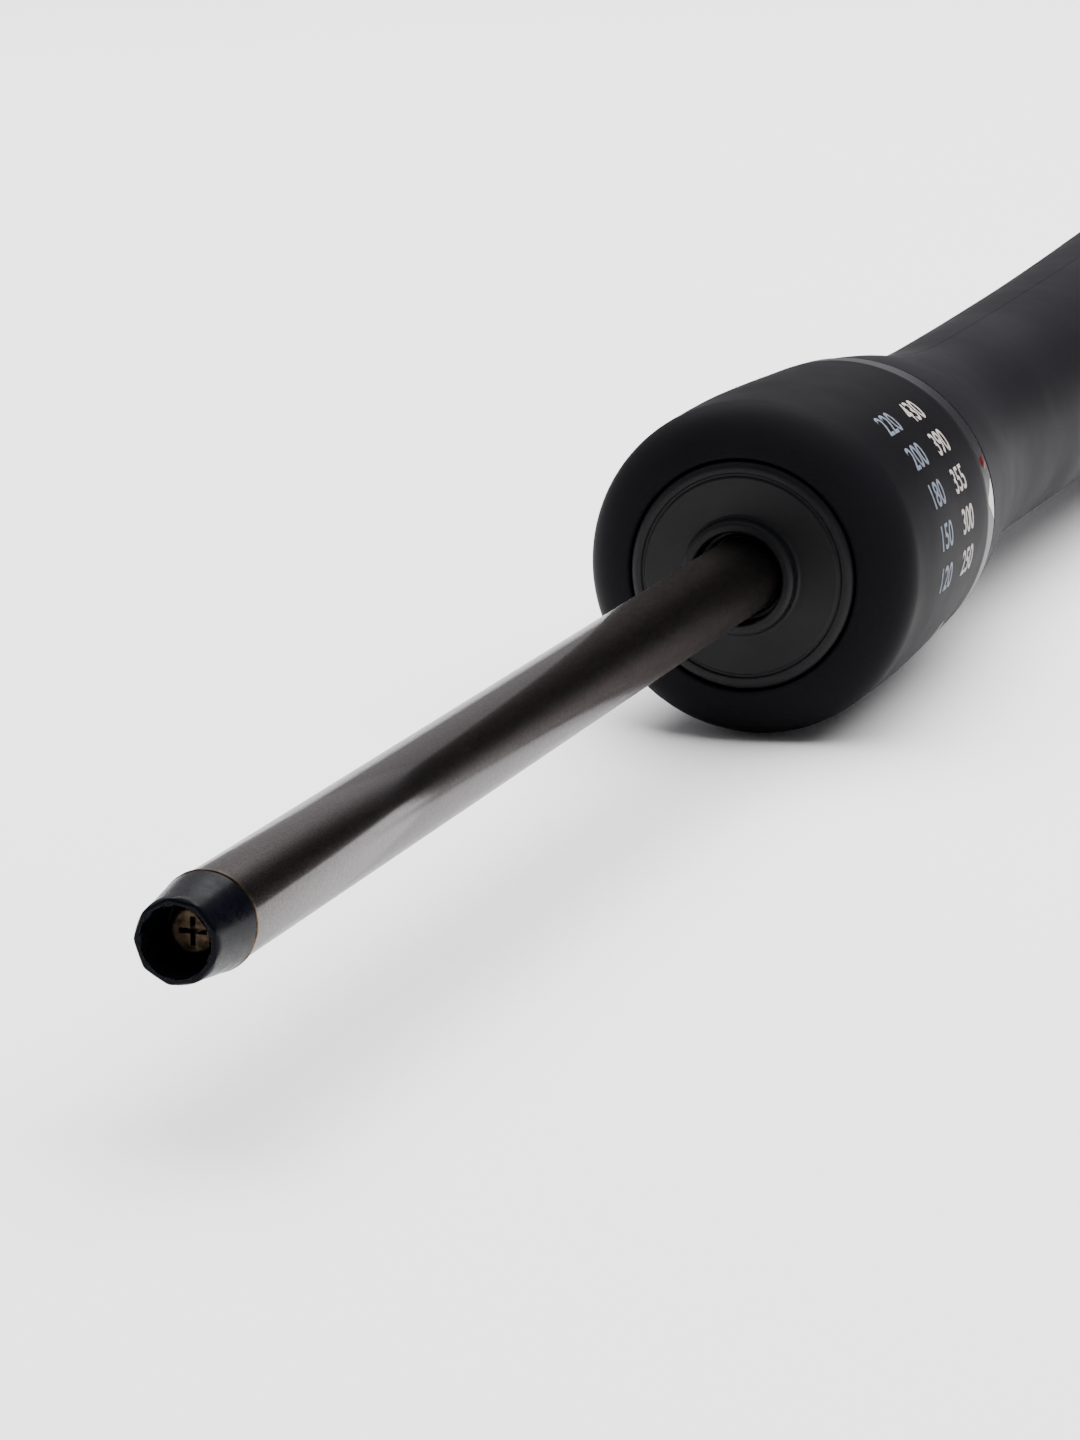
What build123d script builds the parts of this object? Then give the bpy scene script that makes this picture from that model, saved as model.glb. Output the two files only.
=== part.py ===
from build123d import *
import os
from math import cos, radians, sin

# Hair-curling wand with a thin heated barrel, a turning temperature dial and a swivel cord outlet.
# Millimetres. The wand lies along X: the tip points to +X, the cord outlet to -X, and +Z is up.
# The origin is on the wand's axis, in the plane of the head's flat front face.

# ---- driving dimensions -------------------------------------------------------------------------
barrel_radius = 4.5
barrel_wall = 0.5
barrel_length = 166.7          # from the front face to the tip washer
barrel_root = -27.0            # where the tube ends inside the head
root_radius = 4.3              # the tube's reduced outside behind the front face
washer_radius = 4.72
washer_thickness = 0.5
cap_base_radius = 4.68
cap_mouth_radius = 3.9         # to the corners of the nine-sided mouth
cap_bore_radius = 3.16
cap_length = 7.4
cap_floor = 1.5
cap_sides = 9

plate_radius = 13.44
plate_thickness = 4.4
plate_boss_radius = 6.75
plate_boss_height = 1.9
plate_flange_radius = 15.2
dial_lip_radius = 13.75
dial_lip_depth = 2.2
dial_shoulder_radius = 6.0
dial_radius = 19.85
dial_rear_radius = 18.9
dial_bore_radius = 17.1
dial_front = -0.4
dial_belly = -20.0             # where the dial is widest
dial_rear = -43.9
running_clearance = 0.06
body_gap = 0.3                 # between faces of different moving bodies

spindle_radius = 14.0
spindle_bore_radius = 12.0
spindle_front = -plate_thickness
spindle_rear = -58.0
rib_front = -52.0              # rib that keeps the spindle in the handle
rib_rear = -54.0
rib_radius = 15.2
collar_front = -44.3
collar_rear = -48.0
collar_radius = 18.75

handle_wall = 2.2
handle_rear = -218.0
handle_rear_radius = 16.0
waist_radius = 13.9
cap_rear = handle_rear - 18.0
end_dome_radius = 7.0
board_top = -0.8
board_thickness = 1.6
board_front = -64.0
board_rear = -150.0
boss_height = -7.5             # the shell screws run below the circuit board
screw_stations = (-78.0, -134.0, -190.0)
gland_radius = 5.5
gland_rear = cap_rear - 17.0
cord_radius = 3.2              # bore for a 6 mm cord
cord_bore_depth = 20.0

led_angle = 21.3               # degrees round the axis, from +Y towards +Z
setting_step = 14.7            # degrees between two settings
setting_count = 7              # six temperatures and off

os.makedirs("parts", exist_ok=True)


def outline(*points):
    """Closed outline of straight runs, given as (x, radius) points."""
    with BuildSketch(Plane.XZ) as section:
        with BuildLine():
            Polyline(*points, close=True)
        make_face()
    return section.sketch


def ring(front, rear, inner, outer):
    """Rectangular section of a plain ring between two X positions."""
    return outline((front, inner), (front, outer), (rear, outer), (rear, inner))


def rod(front, rear, radius):
    """Section of a solid round bar between two X positions."""
    return outline((front, 0), (front, radius), (rear, radius), (rear, 0))


def is_rim(edge, radius):
    """True for a circular edge of the given radius."""
    return edge.geom_type == GeomType.CIRCLE and abs(edge.radius - radius) < 0.01


def radial_plane(x, angle, height):
    """Plane facing outwards at an angle round the axis, at a height above it."""
    outward = Vector(0, cos(radians(angle)), sin(radians(angle)))
    return Plane(origin=Vector(x, 0, 0) + outward * height, x_dir=(1, 0, 0), z_dir=outward)


# ---- tip ----------------------------------------------------------------------------------------
washer_front = barrel_length + washer_thickness
cap_mouth = washer_front + cap_length
screw_seat = washer_front + cap_floor
tip_screw_radius = 1.4
tip_head_radius = 2.5
tip_head_height = 1.8
tip_screw_end = 160.0
plug_rear = 158.0
bore_radius = barrel_radius - barrel_wall

# Cool tip: a short hollow cone whose mouth has nine flats.
with BuildPart() as tip_cap:
    cone = outline(
        (washer_front, tip_screw_radius),
        (washer_front, cap_base_radius - 0.15),
        (washer_front + 0.15, cap_base_radius),
        (cap_mouth, cap_mouth_radius),
        (cap_mouth, cap_bore_radius + 0.1),
        (cap_mouth - 0.15, cap_bore_radius),
        (screw_seat, cap_bore_radius),
        (screw_seat, tip_screw_radius),
    )
    revolve(cone, axis=Axis.X)
    with BuildSketch(Plane(origin=(cap_mouth, 0, 0), x_dir=(0, 1, 0), z_dir=(-1, 0, 0))):
        RegularPolygon(radius=cap_mouth_radius, side_count=cap_sides)
    extrude(amount=cap_length, taper=-32, mode=Mode.INTERSECT)
tip_cap.part.label = "tip_cap"

# Thin metal washer between the cool tip and the tube.
with BuildPart() as tip_washer:
    revolve(ring(washer_front, barrel_length, tip_screw_radius, washer_radius), axis=Axis.X)
    fillet(tip_washer.edges().filter_by(GeomType.CIRCLE).group_by(SortBy.RADIUS)[-1], 0.12)
tip_washer.part.label = "tip_washer"

# Plug pressed into the tube, with the thread for the tip screw.
with BuildPart() as tip_plug:
    revolve(ring(barrel_length, plug_rear, tip_screw_radius, bore_radius), axis=Axis.X)
tip_plug.part.label = "tip_plug"

# Cross-head screw that holds the cool tip.
with BuildPart() as tip_screw:
    revolve(rod(screw_seat + tip_head_height, screw_seat, tip_head_radius), axis=Axis.X)
    revolve(rod(screw_seat, tip_screw_end, tip_screw_radius), axis=Axis.X)
    fillet(tip_screw.edges().filter_by(GeomType.CIRCLE).sort_by(Axis.X)[-1], 0.7)
    with BuildSketch(Plane(origin=(screw_seat + tip_head_height, 0, 0), z_dir=(1, 0, 0))):
        Rectangle(2.6, 0.5)
        Rectangle(0.5, 2.6)
    extrude(amount=-1.1, mode=Mode.SUBTRACT)
tip_screw.part.label = "tip_screw"

# ---- heated barrel ------------------------------------------------------------------------------
with BuildPart() as barrel_tube:
    revolve(ring(barrel_length, 0, bore_radius, barrel_radius), axis=Axis.X)
    revolve(ring(0, barrel_root, bore_radius, root_radius), axis=Axis.X)
barrel_tube.part.label = "barrel_tube"

heater_front = 152.0
heater_rear = 10.0
heater_width = 5.0
heater_thickness = 1.3
clamp_radius = bore_radius - 0.05

# Flat ceramic heater between two half-round aluminium bars.
with BuildPart() as heater_strip:
    with Locations(((heater_front + heater_rear) / 2, 0, 0)):
        Box(heater_front - heater_rear, heater_width, heater_thickness)
heater_strip.part.label = "heater_strip"

with BuildPart() as heater_clamp_upper:
    revolve(rod(heater_front, heater_rear, clamp_radius), axis=Axis.X)
    split(bisect_by=Plane.XY.offset(heater_thickness / 2), keep=Keep.TOP)
heater_clamp_upper.part.label = "heater_clamp_upper"

with BuildPart() as heater_clamp_lower:
    revolve(rod(heater_front, heater_rear, clamp_radius), axis=Axis.X)
    split(bisect_by=Plane.XY.offset(-heater_thickness / 2), keep=Keep.BOTTOM)
heater_clamp_lower.part.label = "heater_clamp_lower"

lead_spread = 1.2
lead_radius = 0.55
terminal_front = board_front - 2.0

# Two-bore ceramic tube that carries the heater's leads out of the hot zone.
with BuildPart() as lead_insulator:
    with BuildSketch(Plane.YZ.offset(8.0)):
        Circle(2.4)
        with Locations((-lead_spread, 0), (lead_spread, 0)):
            Circle(lead_radius + 0.05, mode=Mode.SUBTRACT)
    extrude(amount=-38.0)
lead_insulator.part.label = "lead_insulator"

with BuildPart() as heater_leads:
    with BuildSketch(Plane.YZ.offset(heater_rear)):
        with Locations((-lead_spread, 0), (lead_spread, 0)):
            Circle(lead_radius)
    extrude(amount=terminal_front - heater_rear)
heater_leads.part.label = "heater_leads"

# Bead thermistor above the insulator, with its two fine leads.
thermistor_height = 3.2
with BuildPart() as thermistor:
    with BuildSketch(Plane.YZ.offset(7.5)):
        with Locations((0, thermistor_height)):
            Circle(0.7)
    extrude(amount=-3.0)
    with BuildSketch(Plane.YZ.offset(4.5)):
        with Locations((-0.35, thermistor_height), (0.35, thermistor_height)):
            Circle(0.2)
    extrude(amount=terminal_front - 4.5)
thermistor.part.label = "thermistor"

# ---- head ---------------------------------------------------------------------------------------
holder_radius = 6.5
holder_front = -1.2
holder_rear = -24.0
plate_bore_radius = 4.6
sleeve_gap_radius = 5.4        # ring-shaped gap that lets a sleeve come up to the face
sleeve_gap_floor = -0.6
wall_rear = spindle_front - 2.0
plate_screw_pitch = 10.6
plate_screw_radius = 0.9
lip_rear = dial_front - dial_lip_depth

# Flat front plate with a raised boss round the barrel, and a flange behind the dial's lip.
with BuildPart() as front_plate:
    plate_section = outline(
        (plate_boss_height, sleeve_gap_radius),
        (plate_boss_height, plate_boss_radius),
        (0, plate_boss_radius),
        (0, plate_radius),
        (lip_rear - body_gap, plate_radius),
        (lip_rear - body_gap, plate_flange_radius),
        (-plate_thickness, plate_flange_radius),
        (-plate_thickness, holder_radius),
        (holder_front, holder_radius),
        (holder_front, plate_bore_radius),
        (sleeve_gap_floor, plate_bore_radius),
        (sleeve_gap_floor, sleeve_gap_radius),
    )
    revolve(plate_section, axis=Axis.X)
    for rim_radius in (plate_boss_radius, plate_radius):
        rims = front_plate.edges().filter_by(lambda e: is_rim(e, rim_radius))
        fillet(rims.sort_by(Axis.X)[-1], 0.7)
    with BuildSketch(Plane.YZ.offset(-plate_thickness)):
        with PolarLocations(plate_screw_pitch, 3, start_angle=90):
            Circle(plate_screw_radius)
    extrude(amount=3.0, mode=Mode.SUBTRACT)
front_plate.part.label = "front_plate"

# Heat-resistant bush that grips the barrel.
with BuildPart() as barrel_holder:
    revolve(ring(holder_front, holder_rear, root_radius, holder_radius), axis=Axis.X)
    revolve(ring(wall_rear, wall_rear - 2.0, root_radius, 9.0), axis=Axis.X)
barrel_holder.part.label = "barrel_holder"

with BuildPart() as barrel_clip:
    revolve(ring(holder_rear, holder_rear - 1.2, root_radius, 6.2), axis=Axis.X)
    with BuildSketch(Plane.YZ.offset(holder_rear)):
        with Locations((0, -5.5)):
            Rectangle(5.0, 4.0)
    extrude(amount=-1.2, mode=Mode.SUBTRACT)
barrel_clip.part.label = "barrel_clip"

# Detent ball and spring sit in a radial pocket of the fixed spindle.
ball_radius = 1.5
ball_height = 12.9
pocket_radius = 1.6
pocket_floor = 7.6
pocket_x = -27.5
detent_angle = 270.0

# Fixed spindle: the drum that the dial turns on and that joins the head to the handle.
with BuildPart() as spindle:
    drum = outline(
        (spindle_front, holder_radius),
        (spindle_front, spindle_radius),
        (rib_front, spindle_radius),
        (rib_front, rib_radius),
        (rib_rear, rib_radius),
        (rib_rear, spindle_radius),
        (spindle_rear, spindle_radius),
        (spindle_rear, spindle_bore_radius),
        (wall_rear, spindle_bore_radius),
        (wall_rear, holder_radius),
    )
    revolve(drum, axis=Axis.X)
    with BuildSketch(radial_plane(pocket_x, detent_angle, 7.0)):
        Circle(2.8)
    extrude(amount=6.0)
    with BuildSketch(radial_plane(pocket_x, detent_angle, pocket_floor)):
        Circle(pocket_radius)
    extrude(amount=8.0, mode=Mode.SUBTRACT)
    with BuildSketch(Plane.YZ.offset(spindle_front)):
        with PolarLocations(plate_screw_pitch, 3, start_angle=90):
            Circle(plate_screw_radius + 0.2)
    extrude(amount=-2.0, mode=Mode.SUBTRACT)
    with BuildSketch(radial_plane(-46.2, led_angle, 10.0)):
        Circle(0.6)
    extrude(amount=6.0, mode=Mode.SUBTRACT)
spindle.part.label = "spindle"

with BuildPart() as plate_screws:
    with BuildSketch(Plane.YZ.offset(wall_rear)):
        with PolarLocations(plate_screw_pitch, 3, start_angle=90):
            Circle(plate_screw_radius)
    extrude(amount=4.6)
    with BuildSketch(Plane.YZ.offset(wall_rear)):
        with PolarLocations(plate_screw_pitch, 3, start_angle=90):
            Circle(1.35)
    extrude(amount=-1.3)
plate_screws.part.label = "plate_screws"

with BuildPart() as detent_ball:
    with Locations(radial_plane(pocket_x, detent_angle, ball_height)):
        Sphere(ball_radius)
detent_ball.part.label = "detent_ball"

spring_wire = 0.2
spring_height = ball_height - ball_radius - pocket_floor - 2 * spring_wire
with BuildPart() as detent_spring:
    spring_base = radial_plane(pocket_x, detent_angle, pocket_floor + spring_wire)
    with BuildLine():
        coil = Helix(
            pitch=0.75,
            height=spring_height,
            radius=1.1,
            center=spring_base.origin,
            direction=spring_base.z_dir,
        )
    with BuildSketch(Plane(origin=coil @ 0, z_dir=coil % 0)):
        Circle(spring_wire)
    sweep(path=coil, is_frenet=True)
detent_spring.part.label = "detent_spring"

# ---- temperature dial ---------------------------------------------------------------------------
shoulder_back = dial_front - dial_shoulder_radius
shoulder_end = (shoulder_back, dial_lip_radius + dial_shoulder_radius)
seat_radius = plate_flange_radius + running_clearance
seat_rear = -5.2

# Bulb-shaped dial shell: rounded shoulder, gentle belly, open at the back.
with BuildPart() as dial_shell:
    with BuildSketch(Plane.XZ):
        with BuildLine():
            shoulder_mid = (
                shoulder_back + dial_shoulder_radius * sin(radians(45)),
                dial_lip_radius + dial_shoulder_radius * cos(radians(45)),
            )
            Line((lip_rear, dial_lip_radius), (dial_front, dial_lip_radius))
            ThreePointArc((dial_front, dial_lip_radius), shoulder_mid, shoulder_end)
            ThreePointArc(shoulder_end, (dial_belly, dial_radius), (dial_rear, dial_rear_radius))
            Polyline(
                (dial_rear, dial_rear_radius),
                (dial_rear, dial_bore_radius),
                (seat_rear - 2.4, dial_bore_radius),
                (seat_rear, seat_radius),
                (lip_rear, seat_radius),
                (lip_rear, dial_lip_radius),
            )
        make_face()
    revolve(axis=Axis.X)
    fillet(dial_shell.edges().filter_by(lambda e: is_rim(e, dial_rear_radius)), 0.4)
dial_shell.part.label = "dial_shell"

# Ring with one notch for each setting, fixed inside the dial.
detent_inner = 14.6
with BuildPart() as detent_ring:
    revolve(ring(-26.0, -29.0, detent_inner, dial_bore_radius), axis=Axis.X)
    for setting in range(setting_count):
        notch_angle = detent_angle + (setting - (setting_count - 1) / 2) * setting_step
        with BuildSketch(radial_plane(pocket_x, notch_angle, detent_inner - 1.0)):
            Circle(1.2)
        extrude(amount=1.5, mode=Mode.SUBTRACT)
detent_ring.part.label = "detent_ring"

# Carrier for the sliding contacts that read the dial's position.
with BuildPart() as wiper_ring:
    revolve(ring(-31.0, -32.6, 14.6, dial_bore_radius), axis=Axis.X)
wiper_ring.part.label = "wiper_ring"

with BuildPart() as wiper_contacts:
    with BuildSketch(Plane.YZ.offset(-32.6)):
        with PolarLocations(15.4, 3, start_angle=90):
            Rectangle(1.2, 2.0)
    extrude(amount=-0.9)
wiper_contacts.part.label = "wiper_contacts"

# Bearing ring that closes the dial's open back.
with BuildPart() as dial_bearing:
    revolve(ring(-38.0, -42.0, spindle_radius + running_clearance, dial_bore_radius), axis=Axis.X)
dial_bearing.part.label = "dial_bearing"

# Annular resistive track board, fixed on the spindle.
with BuildPart() as track_board:
    revolve(ring(-33.8, -35.0, spindle_radius, 16.6), axis=Axis.X)
track_board.part.label = "track_board"

# ---- neck ---------------------------------------------------------------------------------------
led_x = (collar_front + collar_rear) / 2
led_radius = 0.9

# Fixed collar behind the dial, with the window for the indicator.
with BuildPart() as neck_collar:
    revolve(ring(collar_front, collar_rear, spindle_radius, collar_radius), axis=Axis.X)
    fillet(neck_collar.edges().filter_by(GeomType.CIRCLE).group_by(SortBy.RADIUS)[-1], 0.5)
    with BuildSketch(radial_plane(led_x, led_angle, spindle_radius - 0.5)):
        Circle(led_radius)
    extrude(amount=6.0, mode=Mode.SUBTRACT)
neck_collar.part.label = "neck_collar"

with BuildPart() as indicator_led:
    with BuildSketch(radial_plane(led_x, led_angle, spindle_radius + 0.1)):
        Circle(led_radius)
    extrude(amount=1.8)
indicator_led.part.label = "indicator_led"

with BuildPart() as led_lens:
    with BuildSketch(radial_plane(led_x, led_angle, spindle_radius + 1.9)):
        Circle(led_radius)
    extrude(amount=collar_radius - spindle_radius - 1.8)
led_lens.part.label = "led_lens"

# ---- handle -------------------------------------------------------------------------------------
handle_points = [
    (collar_rear, 18.6),
    (-60.0, 17.2),
    (-72.0, 15.4),
    (-84.0, 14.25),
    (-100.0, waist_radius),
    (-152.0, 14.4),
    (-186.0, 15.1),
    (handle_rear, handle_rear_radius),
]


def handle_body():
    """Both halves of the handle in one piece: a waisted tube with a groove for the spindle's rib."""
    with BuildPart() as body:
        with BuildSketch(Plane.XZ):
            with BuildLine():
                Spline(*handle_points)
                Polyline(
                    (handle_rear, handle_rear_radius),
                    (handle_rear, handle_rear_radius - handle_wall),
                    (-152.0, 14.4 - handle_wall),
                    (-100.0, waist_radius - handle_wall),
                    (-84.0, 14.25 - handle_wall),
                    (spindle_rear, 14.6),
                    (spindle_rear, spindle_radius),
                    (rib_rear, spindle_radius),
                    (rib_rear, rib_radius),
                    (rib_front, rib_radius),
                    (rib_front, spindle_radius),
                    (collar_rear, spindle_radius),
                    (collar_rear, handle_points[0][1]),
                )
            make_face()
        revolve(axis=Axis.X)
    return body.part


ledge_length = 60.0
ledge_centre = -112.0
board_bottom = board_top - board_thickness
screw_shank_radius = 1.2
screw_depth = 6.0              # how far the screws reach into the +Y half
head_radius = 2.3
head_height = 1.6
head_seat = 7.6
boss_radius = 2.6
boss_reach = 9.0

# The half on the +Y side carries the blind screw bosses.
with BuildPart() as handle_left:
    add(handle_body())
    split(bisect_by=Plane.XZ, keep=Keep.BOTTOM)
    with Locations((ledge_centre, 10.4, board_bottom - 0.6)):
        Box(ledge_length, 3.0, 1.2)
    for station in screw_stations:
        with BuildSketch(Plane(origin=(station, 0, boss_height), x_dir=(1, 0, 0), z_dir=(0, 1, 0))):
            Circle(boss_radius)
        extrude(amount=boss_reach)
        with BuildSketch(Plane(origin=(station, 0, boss_height), x_dir=(1, 0, 0), z_dir=(0, 1, 0))):
            Circle(screw_shank_radius)
        extrude(amount=screw_depth + 0.5, mode=Mode.SUBTRACT)
handle_left.part.label = "handle_left"

# The half on the -Y side carries the counterbored screw holes.
with BuildPart() as handle_right:
    add(handle_body())
    split(bisect_by=Plane.XZ, keep=Keep.TOP)
    with Locations((ledge_centre, -10.4, board_bottom - 0.6)):
        Box(ledge_length, 3.0, 1.2)
    for station in screw_stations:
        with BuildSketch(Plane(origin=(station, 0, boss_height), x_dir=(1, 0, 0), z_dir=(0, -1, 0))):
            Circle(boss_radius)
        extrude(amount=boss_reach)
        with BuildSketch(Plane(origin=(station, 0, boss_height), x_dir=(1, 0, 0), z_dir=(0, -1, 0))):
            Circle(screw_shank_radius + 0.1)
        extrude(amount=14.0, mode=Mode.SUBTRACT)
        with BuildSketch(Plane(origin=(station, -head_seat, boss_height), x_dir=(1, 0, 0), z_dir=(0, -1, 0))):
            Circle(head_radius + 0.15)
        extrude(amount=8.0, mode=Mode.SUBTRACT)
handle_right.part.label = "handle_right"

# Self-tapping screws that join the two halves.
with BuildPart() as handle_screws:
    for station in screw_stations:
        with BuildSketch(Plane(origin=(station, -head_seat, boss_height), x_dir=(1, 0, 0), z_dir=(0, 1, 0))):
            Circle(screw_shank_radius)
        extrude(amount=head_seat + screw_depth)
        with BuildSketch(Plane(origin=(station, -head_seat, boss_height), x_dir=(1, 0, 0), z_dir=(0, -1, 0))):
            Circle(head_radius)
        extrude(amount=head_height)
        head_top = (station, -head_seat - head_height, boss_height)
        with BuildSketch(Plane(origin=head_top, x_dir=(1, 0, 0), z_dir=(0, 1, 0))):
            Rectangle(2.4, 0.5)
            Rectangle(0.5, 2.4)
        extrude(amount=0.9, mode=Mode.SUBTRACT)
handle_screws.part.label = "handle_screws"

# ---- electronics --------------------------------------------------------------------------------
with BuildPart() as circuit_board:
    with BuildSketch(Plane.XY.offset(board_bottom)):
        with Locations(((board_front + board_rear) / 2, 0)):
            RectangleRounded(board_front - board_rear, 19.6, 1.0)
    extrude(amount=board_thickness)
circuit_board.part.label = "circuit_board"

with BuildPart() as terminal_blocks:
    for block_x in (terminal_front - 3.5, board_rear + 5.5):
        with BuildSketch(Plane.XY.offset(board_top)):
            with Locations((block_x, 0)):
                Rectangle(7.0, 11.0)
        extrude(amount=6.4)
    fillet(terminal_blocks.edges().filter_by(Axis.Z), 0.5)
terminal_blocks.part.label = "terminal_blocks"

with BuildPart() as control_chip:
    with BuildSketch(Plane.XY.offset(board_top)):
        with Locations((-83.0, 3.0)):
            Rectangle(9.0, 5.0)
    extrude(amount=1.5)
    chamfer(control_chip.faces().sort_by(Axis.Z)[-1].edges(), 0.25)
control_chip.part.label = "control_chip"

with BuildPart() as capacitor:
    with BuildSketch(Plane.XY.offset(board_top)):
        with Locations((-98.0, -4.0)):
            Rectangle(13.0, 6.0)
    extrude(amount=8.0)
    fillet(capacitor.edges().filter_by(Axis.Z), 0.6)
capacitor.part.label = "capacitor"

# Power switch for the heater, with its metal mounting tab.
triac_x = -117.0
triac_depth = 4.4
tab_thickness = 1.3
with BuildPart() as triac:
    with BuildSketch(Plane.XY.offset(board_top)):
        with Locations((triac_x, 0)):
            Rectangle(10.0, triac_depth)
    extrude(amount=6.0)
    with BuildSketch(Plane.XY.offset(board_top + 6.0)):
        with Locations((triac_x, (triac_depth - tab_thickness) / 2)):
            Rectangle(10.0, tab_thickness)
    extrude(amount=4.0)
    with BuildSketch(Plane.XZ.offset(-triac_depth / 2)):
        with Locations((triac_x, board_top + 8.0)):
            Circle(1.2)
    extrude(amount=tab_thickness, mode=Mode.SUBTRACT)
triac.part.label = "triac"

with BuildPart() as thermal_fuse:
    with BuildSketch(Plane.YZ.offset(-126.0)):
        with Locations((-6.0, board_top + 1.8)):
            Circle(1.8)
    extrude(amount=-11.0)
    fillet(thermal_fuse.edges().filter_by(GeomType.CIRCLE), 0.5)
thermal_fuse.part.label = "thermal_fuse"

with BuildPart() as resistors:
    with BuildSketch(Plane.YZ.offset(-105.0)):
        with Locations((4.5, board_top + 1.2), (8.0, board_top + 1.2)):
            Circle(1.2)
    extrude(amount=-6.5)
resistors.part.label = "resistors"

# ---- swivel cord outlet -------------------------------------------------------------------------
brush_mount_front = handle_rear + 20.0
brush_mount_rear = brush_mount_front - 3.0
pin_front = handle_rear + 13.0
pin_radius = 1.5
insulator_front = handle_rear + 7.0
insulator_radius = 2.4
contact_front = handle_rear + 3.0
contact_radius = 3.4
gland_front = handle_rear - 6.0
flange_rear = gland_front - 3.5
flange_radius = 8.0
pocket_radius_rear = flange_radius + body_gap
cord_bore_floor = gland_rear + cord_bore_depth
groove_pitch = 3.2
groove_width = 1.2

with BuildPart() as mains_leads:
    with BuildSketch(Plane.YZ.offset(board_rear + 2.0)):
        with Locations((-3.0, 2.0), (3.0, 2.0)):
            Circle(0.9)
    extrude(amount=brush_mount_front - board_rear - 2.0)
mains_leads.part.label = "mains_leads"

with BuildPart() as brush_mount:
    revolve(rod(brush_mount_front, brush_mount_rear, 10.5), axis=Axis.X)
    with BuildSketch(Plane.YZ.offset(brush_mount_front)):
        with Locations((0, -8.5)):
            Rectangle(10.0, 6.0)
    extrude(amount=brush_mount_rear - brush_mount_front, mode=Mode.SUBTRACT)
brush_mount.part.label = "brush_mount"

# Two leaf brushes: the short one faces the centre pin, the long one the contact ring.
with BuildPart() as contact_brushes:
    with BuildSketch(Plane.YZ.offset(brush_mount_rear)):
        with Locations((0, pin_radius + body_gap + 0.2)):
            Rectangle(2.4, 0.4)
    extrude(amount=-7.0)
    with BuildSketch(Plane.YZ.offset(brush_mount_rear)):
        with Locations((0, -contact_radius - body_gap - 0.2)):
            Rectangle(2.4, 0.4)
    extrude(amount=-18.5)
contact_brushes.part.label = "contact_brushes"

with BuildPart() as contact_pin:
    revolve(rod(pin_front, gland_front, pin_radius), axis=Axis.X)
    fillet(contact_pin.edges().filter_by(GeomType.CIRCLE).sort_by(Axis.X)[-1], 0.6)
contact_pin.part.label = "contact_pin"

with BuildPart() as pin_insulator:
    revolve(ring(insulator_front, gland_front, pin_radius, insulator_radius), axis=Axis.X)
pin_insulator.part.label = "pin_insulator"

with BuildPart() as contact_ring:
    revolve(ring(contact_front, gland_front, insulator_radius, contact_radius), axis=Axis.X)
contact_ring.part.label = "contact_ring"

# Stem that turns in the end cap, with the bore for the cord.
with BuildPart() as swivel_gland:
    stem = outline(
        (gland_front, 0),
        (gland_front, flange_radius),
        (flange_rear, flange_radius),
        (flange_rear, gland_radius),
        (gland_rear + 9.0, gland_radius),
        (gland_rear, gland_radius - 0.7),
        (gland_rear, cord_radius),
        (cord_bore_floor, cord_radius),
        (cord_bore_floor, 0),
    )
    revolve(stem, axis=Axis.X)
    for groove in range(3):
        groove_rear = gland_rear + 2.4 + groove * groove_pitch
        cut = ring(groove_rear + groove_width, groove_rear, gland_radius - 0.75, gland_radius + 0.5)
        revolve(cut, axis=Axis.X, mode=Mode.SUBTRACT)
swivel_gland.part.label = "swivel_gland"

# Ring that holds the gland's flange in the end cap.
with BuildPart() as thrust_ring:
    thrust_front = handle_rear - 2.0
    thrust_rear = gland_front + body_gap
    revolve(ring(thrust_front, thrust_rear, contact_radius + 0.8, pocket_radius_rear), axis=Axis.X)
thrust_ring.part.label = "thrust_ring"

# Domed end cap with the running bore for the gland.
skirt_front = handle_rear + 6.0
skirt_radius = 13.2
dome_front = cap_rear + end_dome_radius
dome_height = handle_rear_radius - end_dome_radius
with BuildPart() as end_cap:
    with BuildSketch(Plane.XZ):
        with BuildLine():
            dome_mid = (
                dome_front - end_dome_radius * cos(radians(45)),
                dome_height + end_dome_radius * sin(radians(45)),
            )
            Line((handle_rear, handle_rear_radius), (dome_front, handle_rear_radius))
            ThreePointArc((dome_front, handle_rear_radius), dome_mid, (cap_rear, dome_height))
            Polyline(
                (cap_rear, dome_height),
                (cap_rear, gland_radius + running_clearance),
                (flange_rear - body_gap, gland_radius + running_clearance),
                (flange_rear - body_gap, pocket_radius_rear),
                (skirt_front, pocket_radius_rear),
                (skirt_front, skirt_radius),
                (handle_rear, skirt_radius),
                (handle_rear, handle_rear_radius),
            )
        make_face()
    revolve(axis=Axis.X)
end_cap.part.label = "end_cap"

# ---- export -------------------------------------------------------------------------------------
pieces = [
    tip_cap, tip_washer, tip_plug, tip_screw, barrel_tube, heater_strip, heater_clamp_upper,
    heater_clamp_lower, lead_insulator, heater_leads, thermistor, front_plate, barrel_holder,
    barrel_clip, spindle, plate_screws, detent_ball, detent_spring, dial_shell, detent_ring,
    wiper_ring, wiper_contacts, dial_bearing, track_board, neck_collar, indicator_led, led_lens,
    handle_left, handle_right, handle_screws, circuit_board, terminal_blocks, control_chip,
    capacitor, triac, thermal_fuse, resistors, mains_leads, brush_mount, contact_brushes,
    contact_pin, pin_insulator, contact_ring, swivel_gland, thrust_ring, end_cap,
]
for piece in pieces:
    export_step(piece.part, f"parts/{piece.part.label}.step")
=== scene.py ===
from math import acos, atan2, cos, pi, radians, sin, sqrt, tan

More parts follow.
